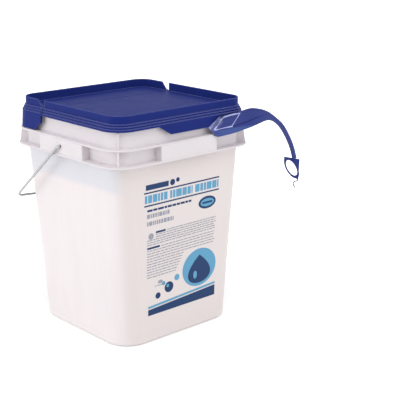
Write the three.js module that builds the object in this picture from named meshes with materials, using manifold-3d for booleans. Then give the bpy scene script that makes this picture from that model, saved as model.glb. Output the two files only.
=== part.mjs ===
// Laundry detergent pail: a square, tapered plastic pail with a hinged lid, a half-torn
// tear strip, a wire bail with a plastic grip, and the powder it holds.
// Millimetres, +Z up, label face towards -Y, bail ears on +X and -X, lid hinge towards +Y.
// The origin is the centre of the underside.
import * as THREE from 'three';
import { mergeVertices } from 'three/addons/utils/BufferGeometryUtils.js';
import Module from 'manifold-3d';

const wasm = await Module();
wasm.setup();

// Pail shell
const BASE_HALF = 103.5; // half width across the flats at the underside
const BASE_CORNER = 36; // corner radius there
const NECK_HALF = 113; // half width at the lower ring
const NECK_CORNER = 22; // corner radius there
const WALL = 2;
const FLOOR = 2.6;
const HEEL = 4; // rounding between wall and underside
const FLOOR_FILLET = 5; // rounding between wall and floor inside
const FOOT_WIDTH = 9; // foot that runs round the underside
const FOOT_GROOVE_WIDTH = 4;
const FOOT_GROOVE_DEPTH = 1.2;
const RIM_TOP = 317.2; // height of the pail's rim
const RIM_CHAMFER = 1.2;

// Stiffening rings below the lid
const LOWER_RING_Z = 262.8; // underside of the lower ring
const UPPER_RING_Z = 285.4; // underside of the upper ring
const RING_THICKNESS = 2.4;
const LOWER_RING_REACH = 13.2; // beyond the neck
const LOWER_RING_HALF = NECK_HALF + LOWER_RING_REACH;
const LOWER_RING_CORNER = 34.8;
const UPPER_RING_REACH = 11; // beyond the neck
const UPPER_RING_HALF = NECK_HALF + UPPER_RING_REACH;
const UPPER_RING_CORNER = 36;
const SNAP_BEAD_REACH = 2.4; // bead that the lid's skirt snaps over
const SNAP_BEAD_HEIGHT = 2.4;
const SNAP_BEAD_CORNER = 28;

// Closed panels between the rings, hollow from below, and ribs on the corner diagonals
const PANEL_HALF_WIDTH = 50;
const PANEL_REACH = 12; // beyond the neck
const PANEL_HALF = NECK_HALF + PANEL_REACH; // half width across two opposite panels
const PANEL_CELLS = 3;
const RIB = 2;
const CORNER_RIB_TOP_GAP = 1; // below the skirt's edge
const CORNER_RIB_REACH = 4.2; // beyond the neck, above the upper ring

// Lid
const LID_TOP = 331.2; // top of the rim wall
const LID_REACH = 1.3; // rim wall beyond the neck
const LID_HALF = NECK_HALF + LID_REACH; // half width across the rim wall
const LID_CORNER = 22.9;
const LID_WALL = 1.8;
const LEDGE_COUNT = 3;
const LEDGE_STEP = 1.9; // each ledge stands this far out from the one above
const LEDGE_DROP = 3.2;
const LEDGE_CORNER_GAIN = 2.37; // growth of the corner radius with each ledge
const LEDGE_RISE = 0.6; // top ledge above the panel
const LID_MOAT_WIDTH = 3;
const LID_MOAT_DEPTH = 0.7;
const RIM_ROUNDING = 0.6;
const PLUG_DEPTH = 14.6; // plug wall below the panel
const PLUG_GAP = 1.2; // lets the plug swing out past the pail's wall

// Hinge line across the lid and the notches that let its rim fold
const HINGE_Y = 52;
const HINGE_GAP = 0.35;
const HINGE_GROOVE = 0.8;
const NOTCH_FRONT = 2; // flap's rim ends this far before the hinge line
const NOTCH_BACK = 4; // foot of the slanted end behind the hinge line
const NOTCH_SLANT = THREE.MathUtils.degToRad(42);

// Deep clip skirt of the rear part
const CLIP_GAP = 0.6; // above the upper ring
const CLIP_FLARE = 1.6;
const CLIP_CHAMFER_RUN = 16;
const CLIP_CHAMFER_RISE = 12;

// Lift tab in the middle of the front skirt
const TAB_CENTRE = 5.5; // right of the pail's middle
const TAB_TOP_HALF = 54.2;
const TAB_FOOT_HALF = 33.5;
const TAB_DROP = 12.5; // below the skirt's edge

// Tear strip, torn loose from the right of the lift tab
const STRIP_HEIGHT = 27;
const STRIP_THICKNESS = 1.6;
const STRIP_LIP = 3.4; // thickness of its lower lip
const STRIP_LIP_HEIGHT = 9;
const STRIP_BEAD = 2.4; // thickness of its upper edge
const STRIP_BEAD_HEIGHT = 2;
const STRIP_STEP = 0.5; // slope between the thicknesses
const STRIP_FOOT_SLOPE = 0.85; // how its torn end turns back below the tab's foot
const STRIP_NARROWS = 0.34; // share of its length where it starts to narrow to a tail
const STRIP_TAIL_STARTS = 0.6;
const STRIP_TAIL_HEIGHT = 7;
const STRIP_STATIONS = 60;
const STRIP_POCKET_DEPTH = 0.7;
const STRIP_POCKET_START = 15;
const STRIP_POCKET_LENGTH = 28;
const STRIP_POCKET_SLANT = 0.85;
const STRIP_UNIT = 10; // length that its route and its pull are drawn in
const PULL_RING_WIDTH = 23;
const PULL_RING_HEIGHT = 34;
const PULL_RING_THICKNESS = 2.6;
const PULL_RING_TURN = THREE.MathUtils.degToRad(42.6); // from the front towards the left
const PULL_RING_SLANT = THREE.MathUtils.degToRad(30);
const PULL_CURL_RADIUS = 0.8;

// Bail
const PIVOT_Z = 276.6;
const BAIL_WIRE_RADIUS = 1.8;
const EAR_HOLE_CLEARANCE = 0.5;
const BAIL_STANDOFF = 4.6; // arm's middle beyond the ear panel
const BAIL_TUCK = 1; // how far each arm draws in towards its bend
const BAIL_HALF_SPAN = PANEL_HALF + BAIL_STANDOFF; // arm at the ear
const SHOULDER_HALF_SPAN = BAIL_HALF_SPAN - BAIL_TUCK; // arm where it bends
const SHOULDER_REACH = 145;
const SHOULDER_BEND = 13;
const EAR_BEND = 3;
const GRIP_BEND = 40; // easy bend at each end of the straight middle
const BEND_STEPS = 6;
const BAIL_REST_ANGLE = THREE.MathUtils.degToRad(39.5); // below level, behind the pail
const BAIL_HEAD_RADIUS = 3.6;
const BAIL_HEAD_LENGTH = 1.6;
const WIRE_SIDES = 10;

// Grip
const GRIP_LENGTH = 96;
const GRIP_RADIUS = 12;
const GRIP_WAIST = 1.2; // how much thinner the grooves between its ridges are
const GRIP_RIDGES = 7;
const GRIP_BORE_CLEARANCE = 0.5;
const GRIP_END_ROOM = 8; // straight wire beyond each end of the grip

// Contents
const POWDER_TOP = 226;
const POWDER_CROWN = 4;
const MOUND_WIDTH_SHARE = 0.6; // width of the powder's mound where it has risen by
const MOUND_RISE_SHARE = 0.7; // this share of its crown

const SEAT_GAP = 0.3; // between pieces that rest on or against each other
const CORNER_STEPS = 8;
const ROUND_STEPS = 4;
const OVERLAP = 0.5; // how far joined solids run into each other
const FAR = 400; // reach of cutting solids

const UPPER_RING_TOP = UPPER_RING_Z + RING_THICKNESS;
const PANEL_UNDERSIDE = RIM_TOP + SEAT_GAP;
const PANEL_TOP = PANEL_UNDERSIDE + LID_WALL;
const LEDGE_TOP = PANEL_TOP + LEDGE_RISE;
const SKIRT_EDGE = LEDGE_TOP - LEDGE_COUNT * LEDGE_DROP;
const SKIRT_HALF = LID_HALF + LEDGE_COUNT * LEDGE_STEP;
const SKIRT_CORNER = LID_CORNER + LEDGE_COUNT * LEDGE_CORNER_GAIN;
const PLUG_HALF = NECK_HALF - WALL - PLUG_GAP;
const PLUG_CORNER = NECK_CORNER - WALL - PLUG_GAP;
const CLIP_FOOT = UPPER_RING_TOP + CLIP_GAP;

// A rounded square section at one height; a half width of zero is a point on the axis
const section = (half, corner, z) => ({ half, corner, z });
const inset = (outer, thickness, z) => section(outer.half - thickness, outer.corner - thickness, z);

function outline({ half, corner, z }) {
  const points = [];
  for (let quarter = 0; quarter < 4; quarter++) {
    const turn = quarter * Math.PI / 2;
    for (let step = 0; step <= CORNER_STEPS; step++) {
      const angle = step / CORNER_STEPS * Math.PI / 2;
      const point = new THREE.Vector3(
        half - corner + corner * Math.cos(angle),
        half - corner + corner * Math.sin(angle),
        z,
      );
      points.push(point.applyAxisAngle(new THREE.Vector3(0, 0, 1), turn));
    }
  }
  return points;
}

// Triangles between neighbouring rings of points
function skinFaces(rings, rows) {
  const size = rings[0].length;
  const faces = [];
  for (let row = 0; row < rows; row++) {
    const here = row * size;
    const above = (row + 1) % rings.length * size;
    for (let column = 0; column < size; column++) {
      const next = (column + 1) % size;
      faces.push(here + column, here + next, above + next);
      faces.push(here + column, above + next, above + column);
    }
  }
  return faces;
}

// A skin whose last ring joins its first
function skin(rings) {
  const geometry = new THREE.BufferGeometry().setFromPoints(rings.flat());
  return geometry.setIndex(skinFaces(rings, rings.length));
}

// A skin with flat ends, which are filled by the outline that its rings follow
function sleeve(rings, profile) {
  const faces = skinFaces(rings, rings.length - 1);
  const contour = profile.map(([u, v]) => new THREE.Vector2(u, v));
  const last = (rings.length - 1) * profile.length;
  const turned = THREE.ShapeUtils.isClockWise(contour);
  for (const [a, b, c] of THREE.ShapeUtils.triangulateShape(contour, [])) {
    if (turned) faces.push(a, b, c, last + a, last + c, last + b);
    else faces.push(a, c, b, last + a, last + b, last + c);
  }
  const geometry = new THREE.BufferGeometry().setFromPoints(rings.flat());
  return geometry.setIndex(faces);
}

// A closed three.js geometry as a solid that can be joined and cut
function solid(source) {
  const bare = source.clone();
  bare.deleteAttribute('normal');
  bare.deleteAttribute('uv');
  const merged = mergeVertices(bare, 1e-4);
  const corners = [];
  for (let i = 0; i < merged.index.count; i += 3) {
    const [a, b, c] = [0, 1, 2].map((k) => merged.index.getX(i + k));
    if (a !== b && b !== c && c !== a) corners.push(a, b, c);
  }
  return new wasm.Manifold(new wasm.Mesh({
    numProp: 3,
    vertProperties: new Float32Array(merged.attributes.position.array),
    triVerts: new Uint32Array(corners),
  }));
}

const loft = (sections) => solid(skin(sections.map(outline)));

function box(low, high) {
  const size = new THREE.Vector3().subVectors(high, low);
  const centre = new THREE.Vector3().addVectors(low, high).multiplyScalar(0.5);
  const geometry = new THREE.BoxGeometry(size.x, size.y, size.z);
  return geometry.translate(centre.x, centre.y, centre.z);
}

// An outline drawn in a plane that holds Z, made as thick as depth, middle on the plane
function slab(points, depth, across) {
  const shape = new THREE.Shape(points.map(([u, z]) => new THREE.Vector2(u, z)));
  const geometry = new THREE.ExtrudeGeometry(shape, { depth, bevelEnabled: false });
  const up = new THREE.Vector3(0, 0, 1);
  const normal = new THREE.Vector3().crossVectors(across, up);
  geometry.translate(0, 0, -depth / 2);
  return geometry.applyMatrix4(new THREE.Matrix4().makeBasis(across, up, normal));
}

const ALONG_X = new THREE.Vector3(1, 0, 0);
const ALONG_Y = new THREE.Vector3(0, 1, 0);

// A rod along X
function rod(radius, from, to, sides = 24) {
  const geometry = new THREE.CylinderGeometry(radius, radius, Math.abs(to - from), sides);
  return geometry.rotateZ(Math.PI / 2).translate((from + to) / 2, 0, 0);
}

// A polyline whose own points are the steps of a tube
class Route extends THREE.Curve {
  constructor(points) {
    super();
    this.points = points;
  }

  getPoint(t) {
    const place = t * (this.points.length - 1);
    const first = Math.min(Math.floor(place), this.points.length - 2);
    return this.points[first].clone().lerp(this.points[first + 1], place - first);
  }

  getUtoTmapping(u) {
    return u;
  }
}

function tube(points, radius, sides) {
  const ring = new THREE.Shape();
  for (let side = 0; side < sides; side++) {
    const angle = 2 * Math.PI * side / sides;
    const place = [radius * Math.cos(angle), radius * Math.sin(angle)];
    if (side === 0) ring.moveTo(...place);
    else ring.lineTo(...place);
  }
  const path = new Route(points);
  return new THREE.ExtrudeGeometry(ring, { steps: points.length - 1, extrudePath: path });
}

// Points of a circular bend of the given radius at one corner of a path
function bend(before, corner, after, radius, steps) {
  const back = before.clone().sub(corner).normalize();
  const ahead = after.clone().sub(corner).normalize();
  const half = back.angleTo(ahead) / 2;
  const start = corner.clone().addScaledVector(back, radius / Math.tan(half));
  const middle = back.clone().add(ahead).normalize();
  const centre = corner.clone().addScaledVector(middle, radius / Math.sin(half));
  const axis = new THREE.Vector3().crossVectors(back, ahead).normalize();
  const arm = start.sub(centre);
  const turn = 2 * half - Math.PI;
  return Array.from({ length: steps + 1 }, (_, step) => (
    arm.clone().applyAxisAngle(axis, turn * step / steps).add(centre)
  ));
}

// Outer wall of the pail at a height below the lower ring
function wallAt(z) {
  const share = z / LOWER_RING_Z;
  return section(
    THREE.MathUtils.lerp(BASE_HALF, NECK_HALF, share),
    THREE.MathUtils.lerp(BASE_CORNER, NECK_CORNER, share),
    z,
  );
}

// A quarter round in section, from level to upright, inside the given wall
function quarterRound(wall, radius, z, rising) {
  const arc = Array.from({ length: ROUND_STEPS + 1 }, (_, step) => {
    const angle = step / ROUND_STEPS * Math.PI / 2;
    return inset(wall, radius * (1 - Math.sin(angle)), z + radius * (1 - Math.cos(angle)));
  });
  return rising ? arc : arc.reverse();
}

function pailShell() {
  const base = wallAt(0);
  const neck = section(NECK_HALF, NECK_CORNER);
  const grooveOuter = inset(base, HEEL + FOOT_WIDTH);
  const grooveInner = inset(base, HEEL + FOOT_WIDTH + FOOT_GROOVE_WIDTH);
  const at = ({ half, corner }, z) => section(half, corner, z);
  const lowerRing = section(LOWER_RING_HALF, LOWER_RING_CORNER);
  const upperRing = section(UPPER_RING_HALF, UPPER_RING_CORNER);
  const bead = section(NECK_HALF + SNAP_BEAD_REACH, SNAP_BEAD_CORNER);
  const beadTop = RIM_TOP - RIM_CHAMFER - SNAP_BEAD_REACH;
  return loft([
    section(0, 0, 0),
    at(grooveInner, 0),
    at(grooveInner, FOOT_GROOVE_DEPTH),
    at(grooveOuter, FOOT_GROOVE_DEPTH),
    at(grooveOuter, 0),
    ...quarterRound(base, HEEL, 0, true),
    at(neck, LOWER_RING_Z),
    at(lowerRing, LOWER_RING_Z),
    at(lowerRing, LOWER_RING_Z + RING_THICKNESS),
    at(neck, LOWER_RING_Z + RING_THICKNESS),
    at(neck, UPPER_RING_Z),
    at(upperRing, UPPER_RING_Z),
    at(upperRing, UPPER_RING_TOP),
    at(neck, UPPER_RING_TOP),
    at(neck, beadTop - SNAP_BEAD_HEIGHT - SNAP_BEAD_REACH),
    at(bead, beadTop - SNAP_BEAD_HEIGHT),
    at(bead, beadTop),
    at(neck, RIM_TOP - RIM_CHAMFER),
    inset(neck, RIM_CHAMFER / 2, RIM_TOP),
    inset(neck, WALL, RIM_TOP),
    inset(neck, WALL, LOWER_RING_Z),
    ...quarterRound(inset(base, WALL), FLOOR_FILLET, FLOOR, false),
    section(0, 0, FLOOR),
  ]);
}

// One closed panel between the rings on the +X side, and the cells that hollow it from below
function panelBlock() {
  return box(
    new THREE.Vector3(NECK_HALF - WALL / 2, -PANEL_HALF_WIDTH, LOWER_RING_Z + OVERLAP),
    new THREE.Vector3(PANEL_HALF, PANEL_HALF_WIDTH, UPPER_RING_Z + OVERLAP),
  );
}

function panelCell(index) {
  const clear = 2 * (PANEL_HALF_WIDTH - WALL) - (PANEL_CELLS - 1) * RIB;
  const width = clear / PANEL_CELLS;
  const middle = (index - (PANEL_CELLS - 1) / 2) * (width + RIB);
  return box(
    new THREE.Vector3(NECK_HALF, middle - width / 2, LOWER_RING_Z - OVERLAP),
    new THREE.Vector3(PANEL_HALF - WALL, middle + width / 2, UPPER_RING_Z),
  );
}

// Furthest reach of a rounded square along its diagonal
const diagonal = (half, corner) => Math.SQRT2 * (half - corner) + corner;

function cornerRib() {
  const neckReach = diagonal(NECK_HALF, NECK_CORNER);
  const neckEdge = neckReach + CORNER_RIB_REACH;
  return slab([
    [neckReach - WALL / 2, LOWER_RING_Z + RING_THICKNESS / 2],
    [diagonal(LOWER_RING_HALF, LOWER_RING_CORNER) - OVERLAP, LOWER_RING_Z + RING_THICKNESS / 2],
    [diagonal(UPPER_RING_HALF, UPPER_RING_CORNER) - OVERLAP, UPPER_RING_Z + RING_THICKNESS / 2],
    [neckEdge, UPPER_RING_Z + RING_THICKNESS / 2],
    [neckEdge, SKIRT_EDGE - CORNER_RIB_TOP_GAP],
    [neckReach - WALL / 2, SKIRT_EDGE - CORNER_RIB_TOP_GAP],
  ], RIB, ALONG_X);
}

function makePail() {
  let pail = pailShell();
  for (let side = 0; side < 4; side++) {
    const turn = side * Math.PI / 2;
    pail = pail.add(solid(panelBlock().rotateZ(turn)));
    pail = pail.add(solid(cornerRib().rotateZ(turn + Math.PI / 4)));
    for (let cell = 0; cell < PANEL_CELLS; cell++) {
      pail = pail.subtract(solid(panelCell(cell).rotateZ(turn)));
    }
  }
  const holeRadius = BAIL_WIRE_RADIUS + EAR_HOLE_CLEARANCE;
  for (const side of [-1, 1]) {
    const inner = side * (PANEL_HALF - WALL - OVERLAP);
    const outer = side * (PANEL_HALF + OVERLAP);
    pail = pail.subtract(solid(rod(holeRadius, inner, outer).translate(0, 0, PIVOT_Z)));
  }
  return pail;
}

// Lid before it is divided at the hinge line
function lidShell() {
  const rim = section(LID_HALF, LID_CORNER);
  const plug = section(PLUG_HALF, PLUG_CORNER);
  const at = ({ half, corner }, z) => section(half, corner, z);
  const ledge = (count) => section(
    LID_HALF + count * LEDGE_STEP,
    LID_CORNER + count * LEDGE_CORNER_GAIN,
  );
  const ledgeZ = (count) => LEDGE_TOP - count * LEDGE_DROP;
  const inside = [inset(ledge(1), LID_WALL, PANEL_UNDERSIDE)];
  const outside = [at(ledge(LEDGE_COUNT), SKIRT_EDGE)];
  for (let count = 1; count < LEDGE_COUNT; count++) {
    inside.push(inset(ledge(count), LID_WALL, ledgeZ(count) - LID_WALL));
    inside.push(inset(ledge(count + 1), LID_WALL, ledgeZ(count) - LID_WALL));
  }
  inside.push(inset(ledge(LEDGE_COUNT), LID_WALL, SKIRT_EDGE));
  for (let count = LEDGE_COUNT; count > 0; count--) {
    outside.push(at(ledge(count), ledgeZ(count - 1)));
    outside.push(at(ledge(count - 1), ledgeZ(count - 1)));
  }
  return loft([
    section(0, 0, PANEL_UNDERSIDE),
    inset(plug, LID_WALL, PANEL_UNDERSIDE),
    inset(plug, LID_WALL, PANEL_UNDERSIDE - PLUG_DEPTH),
    at(plug, PANEL_UNDERSIDE - PLUG_DEPTH),
    at(plug, PANEL_UNDERSIDE),
    ...inside,
    ...outside,
    at(rim, LID_TOP - RIM_ROUNDING),
    inset(rim, RIM_ROUNDING, LID_TOP),
    inset(rim, LID_WALL - RIM_ROUNDING, LID_TOP),
    inset(rim, LID_WALL, LID_TOP - RIM_ROUNDING),
    inset(rim, LID_WALL, PANEL_TOP - LID_MOAT_DEPTH),
    inset(rim, LID_WALL + LID_MOAT_WIDTH, PANEL_TOP - LID_MOAT_DEPTH),
    inset(rim, LID_WALL + LID_MOAT_WIDTH + LID_MOAT_DEPTH, PANEL_TOP),
    section(0, 0, PANEL_TOP),
  ]);
}

// Space in front of the hinge line, widened above the panel by the front of the notch
function flapSpace() {
  const edge = HINGE_Y - HINGE_GAP / 2;
  return slab([
    [-FAR, 0],
    [edge, 0],
    [edge, PANEL_TOP],
    [HINGE_Y - NOTCH_FRONT, PANEL_TOP],
    [HINGE_Y - NOTCH_FRONT, FAR],
    [-FAR, FAR],
  ], 2 * FAR, ALONG_Y);
}

// Space behind the hinge line, cut back above the panel by the slanted end of the notch
function rearSpace() {
  const edge = HINGE_Y + HINGE_GAP / 2;
  const slantRise = FAR - PANEL_TOP;
  return slab([
    [edge, 0],
    [FAR, 0],
    [FAR, FAR],
    [HINGE_Y + NOTCH_BACK + slantRise * Math.tan(NOTCH_SLANT), FAR],
    [HINGE_Y + NOTCH_BACK, PANEL_TOP],
    [edge, PANEL_TOP],
  ], 2 * FAR, ALONG_Y);
}

// Groove that marks the thin hinge line in the top of the panel
function hingeGroove() {
  const reach = LID_HALF - LID_WALL - LID_MOAT_WIDTH;
  return slab([
    [HINGE_Y - HINGE_GROOVE, PANEL_TOP + HINGE_GROOVE / 2],
    [HINGE_Y, PANEL_TOP - HINGE_GROOVE],
    [HINGE_Y + HINGE_GROOVE, PANEL_TOP + HINGE_GROOVE / 2],
  ], 2 * reach, ALONG_Y);
}

function liftTab() {
  const foot = SKIRT_EDGE - TAB_DROP;
  const top = SKIRT_EDGE + OVERLAP;
  const spread = (TAB_TOP_HALF - TAB_FOOT_HALF) / TAB_DROP;
  const topHalf = TAB_FOOT_HALF + spread * (top - foot);
  const plate = slab([
    [-topHalf, top],
    [-TAB_FOOT_HALF, foot],
    [TAB_FOOT_HALF, foot],
    [topHalf, top],
  ], LID_WALL, ALONG_X);
  return plate.translate(TAB_CENTRE, LID_WALL / 2 - SKIRT_HALF, 0);
}

// Deep skirt of the rear part, flared towards its foot and chamfered at its front ends
function clipSkirt() {
  const head = section(SKIRT_HALF, SKIRT_CORNER, SKIRT_EDGE + OVERLAP);
  const foot = section(SKIRT_HALF + CLIP_FLARE, SKIRT_CORNER + CLIP_FLARE, CLIP_FOOT);
  const ring = loft([
    inset(head, LID_WALL, head.z),
    inset(foot, LID_WALL, foot.z),
    foot,
    head,
  ]);
  const front = HINGE_Y + HINGE_GAP / 2;
  const keep = slab([
    [front, SKIRT_EDGE + LEDGE_DROP],
    [front, CLIP_FOOT + CLIP_CHAMFER_RISE],
    [front + CLIP_CHAMFER_RUN, CLIP_FOOT],
    [front + CLIP_CHAMFER_RUN, 0],
    [FAR, 0],
    [FAR, SKIRT_EDGE + LEDGE_DROP],
  ], 2 * FAR, ALONG_Y);
  return ring.intersect(solid(keep));
}

function makeLidFlap() {
  const flap = lidShell().intersect(solid(flapSpace()));
  return flap.subtract(solid(hingeGroove())).add(solid(liftTab()));
}

function makeLidRear() {
  const rear = lidShell().intersect(solid(rearSpace()));
  return rear.subtract(solid(hingeGroove())).add(clipSkirt());
}

// Tear strip: a band that leaves the tab's slanted edge, stands off the front and narrows
// into a hanging pull tail. Its route is the middle of the band's inner face.
const STRIP_MIDDLE = SKIRT_EDGE - TAB_DROP;
const TAB_SLOPE = (TAB_TOP_HALF - TAB_FOOT_HALF) / TAB_DROP;
const STRIP_START = TAB_CENTRE + TAB_FOOT_HALF + SEAT_GAP * Math.hypot(1, TAB_SLOPE);
const STRIP_FOOT = new THREE.Vector3(STRIP_START, -SKIRT_HALF, STRIP_MIDDLE);
const SKIRT_FRONT_RIGHT = new THREE.Vector3(SKIRT_HALF, -SKIRT_HALF, STRIP_MIDDLE);
const inUnits = (x, y, z) => new THREE.Vector3(x, y, z).multiplyScalar(STRIP_UNIT);
const fromFoot = (x, y, z) => inUnits(x, y, z).add(STRIP_FOOT);
const fromCorner = (x, y, z) => inUnits(x, y, z).add(SKIRT_FRONT_RIGHT);
const STRIP_ROUTE = new THREE.CatmullRomCurve3([
  new THREE.Vector3(STRIP_START, LID_WALL - SKIRT_HALF - SEAT_GAP, STRIP_MIDDLE),
  fromFoot(0.4, -0.26, 0),
  fromFoot(0.9, -0.6, 0.02),
  fromFoot(2, -0.68, 0.06),
  fromCorner(-4.4, -0.76, 0.16),
  fromCorner(-2.4, -0.95, 0.44),
  fromCorner(-0.7, -1.3, 0.72),
  fromCorner(1.7, -1.75, 0.52),
  fromCorner(4, -1.9, -0.88),
  fromCorner(5.8, -1.8, -2.98),
  fromCorner(7, -1.7, -4.98),
  fromCorner(7.6, -1.7, -6.68),
]);
const PULL_RING_CENTRE = fromCorner(7.35, -1.5, -8.08);
const STRIP_LENGTH = STRIP_ROUTE.getLength();

// How far the band has narrowed to its tail, at one share of its route
const narrowing = (share) => THREE.MathUtils.smoothstep(share, STRIP_NARROWS, STRIP_TAIL_STARTS);

// A frame on the route: the band's middle, the way up its height and the way out of its face
function stripFrame(share) {
  const place = THREE.MathUtils.clamp(share, 0, 1);
  const middle = STRIP_ROUTE.getPointAt(place);
  const along = STRIP_ROUTE.getTangentAt(place);
  const up = new THREE.Vector3(0, 0, 1).lerp(ALONG_X, narrowing(place));
  up.addScaledVector(along, -up.dot(along)).normalize();
  return { middle, up, out: new THREE.Vector3().crossVectors(along, up) };
}

// The band between two shares of its route. profile gives [height, thickness] points at a
// share, in millimetres, and lean shifts a height along the route at the band's two ends.
function stripPiece(from, to, stations, profile, lean) {
  const rings = [];
  for (let station = 0; station <= stations; station++) {
    const share = THREE.MathUtils.lerp(from, to, station / stations);
    rings.push(profile(share).map(([height, thickness]) => {
      const { middle, up, out } = stripFrame(share + lean(height, share) / STRIP_LENGTH);
      return middle.addScaledVector(up, height).addScaledVector(out, thickness);
    }));
  }
  return solid(sleeve(rings, profile(from)));
}

// Section of the band: thick lower lip, thin middle and a bead along the upper edge
function bandProfile(share) {
  const narrow = narrowing(share);
  const half = THREE.MathUtils.lerp(STRIP_HEIGHT, STRIP_TAIL_HEIGHT, narrow) / 2;
  const top = Math.min(half, SKIRT_EDGE - SEAT_GAP - STRIP_MIDDLE + share * STRIP_LENGTH / 4);
  const lipTop = -half + THREE.MathUtils.lerp(STRIP_LIP_HEIGHT, half, narrow);
  const beadFoot = top - THREE.MathUtils.lerp(STRIP_BEAD_HEIGHT, half / 2, narrow);
  const lip = THREE.MathUtils.lerp(STRIP_LIP, STRIP_BEAD, narrow);
  const thin = THREE.MathUtils.lerp(STRIP_THICKNESS, STRIP_BEAD, narrow);
  return [
    [-half, 0],
    [top, 0],
    [top, STRIP_BEAD],
    [beadFoot, STRIP_BEAD],
    [beadFoot - STRIP_STEP, thin],
    [lipTop + STRIP_STEP, thin],
    [lipTop, lip],
    [-half, lip],
  ];
}

// The torn end runs along the tab's slanted edge and turns back below the tab's foot
function tornEnd(height, share) {
  const fade = 1 - THREE.MathUtils.smoothstep(share, 0, STRIP_NARROWS);
  return fade * (height > 0 ? TAB_SLOPE * height : -STRIP_FOOT_SLOPE * height);
}

function stripPocket() {
  const from = STRIP_POCKET_START / STRIP_LENGTH;
  const to = from + STRIP_POCKET_LENGTH / STRIP_LENGTH;
  const low = STRIP_LIP_HEIGHT + 2 * STRIP_STEP - STRIP_HEIGHT / 2;
  const high = STRIP_HEIGHT / 2 - STRIP_BEAD_HEIGHT - 2 * STRIP_STEP;
  const floor = STRIP_THICKNESS - STRIP_POCKET_DEPTH;
  const profile = () => [
    [low, floor],
    [high, floor],
    [high, STRIP_LIP],
    [low, STRIP_LIP],
  ];
  return stripPiece(from, to, 8, profile, (height) => STRIP_POCKET_SLANT * height);
}

// A flat piece of the pull ring, drawn facing the front left, at the end of the tail
function pullPiece(shape, depth) {
  const geometry = new THREE.ExtrudeGeometry(shape, { depth, bevelEnabled: false, curveSegments: 24 });
  geometry.translate(0, 0, -depth / 2).rotateX(Math.PI / 2).rotateZ(-PULL_RING_TURN);
  return solid(geometry.translate(PULL_RING_CENTRE.x, PULL_RING_CENTRE.y, PULL_RING_CENTRE.z));
}

function slantedEllipse(width, height) {
  const shape = new THREE.Shape();
  shape.absellipse(0, 0, width / 2, height / 2, 0, 2 * Math.PI, false, PULL_RING_SLANT);
  return shape;
}

function pullRing() {
  const wide = PULL_RING_WIDTH;
  const tall = PULL_RING_HEIGHT;
  const shoulder = new THREE.Shape([
    new THREE.Vector2(-wide / 2, tall / 2),
    new THREE.Vector2(-wide / 2, tall / 3),
    new THREE.Vector2(wide / 3, -tall / 2),
    new THREE.Vector2(wide / 2 - 0.1 * STRIP_UNIT, -tall / 2),
    new THREE.Vector2(wide / 2, tall / 2 - 0.4 * STRIP_UNIT),
  ]);
  const ring = pullPiece(slantedEllipse(wide * 0.72, tall * 1.06), PULL_RING_THICKNESS)
    .add(pullPiece(shoulder, PULL_RING_THICKNESS));
  const hole = pullPiece(slantedEllipse(wide * 0.52, tall * 0.8), PULL_RING_THICKNESS * 2);
  return ring.subtract(hole);
}

// Thin moulded curl that hangs from the pull ring
function pullCurl() {
  const curve = new THREE.CatmullRomCurve3([
    inUnits(0.86, -1.55, 0),
    inUnits(0.94, -1.96, 0),
    inUnits(0.56, -2.08, 0),
    inUnits(0.28, -2.38, 0),
    inUnits(0.57, -3.05, 0),
  ]);
  const geometry = tube(curve.getPoints(16), PULL_CURL_RADIUS, 8);
  geometry.rotateX(Math.PI / 2).rotateZ(-PULL_RING_TURN);
  return solid(geometry.translate(PULL_RING_CENTRE.x, PULL_RING_CENTRE.y, PULL_RING_CENTRE.z));
}

function makeTearStrip() {
  const band = stripPiece(0, 1, STRIP_STATIONS, bandProfile, tornEnd);
  return band.subtract(stripPocket()).add(pullRing()).add(pullCurl());
}

// A place in the bail's own plane: x across, and the distance from its pivots
function bailPlace(x, reach) {
  const level = reach * Math.cos(BAIL_REST_ANGLE);
  return new THREE.Vector3(x, level, PIVOT_Z - reach * Math.sin(BAIL_REST_ANGLE));
}

// Distance from the pivots at which the grip just rests against the pail's back wall
const WALL_SLOPE = (NECK_HALF - BASE_HALF) / LOWER_RING_Z;
const GRIP_STANDOFF = (GRIP_RADIUS + SEAT_GAP) * Math.hypot(1, WALL_SLOPE);
const GRIP_REACH = (BASE_HALF + WALL_SLOPE * PIVOT_Z + GRIP_STANDOFF)
  / (Math.cos(BAIL_REST_ANGLE) + WALL_SLOPE * Math.sin(BAIL_REST_ANGLE));

function makeBailWire() {
  const headFace = PANEL_HALF - WALL - SEAT_GAP;
  const straight = GRIP_LENGTH / 2 + GRIP_END_ROOM;
  const corners = [
    bailPlace(-headFace, 0),
    bailPlace(-BAIL_HALF_SPAN, 0),
    bailPlace(-SHOULDER_HALF_SPAN, SHOULDER_REACH),
    bailPlace(-straight, GRIP_REACH),
    bailPlace(straight, GRIP_REACH),
    bailPlace(SHOULDER_HALF_SPAN, SHOULDER_REACH),
    bailPlace(BAIL_HALF_SPAN, 0),
    bailPlace(headFace, 0),
  ];
  const radii = [EAR_BEND, SHOULDER_BEND, GRIP_BEND, GRIP_BEND, SHOULDER_BEND, EAR_BEND];
  const points = [corners[0]];
  radii.forEach((radius, index) => {
    const [before, corner, after] = corners.slice(index, index + 3);
    points.push(...bend(before, corner, after, radius, BEND_STEPS));
  });
  points.push(corners[corners.length - 1]);
  let wire = solid(tube(points, BAIL_WIRE_RADIUS, WIRE_SIDES));
  for (const side of [-1, 1]) {
    const head = rod(BAIL_HEAD_RADIUS, side * (headFace - BAIL_HEAD_LENGTH), side * headFace, 16);
    wire = wire.add(solid(head.translate(0, 0, PIVOT_Z)));
  }
  return wire;
}

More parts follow.
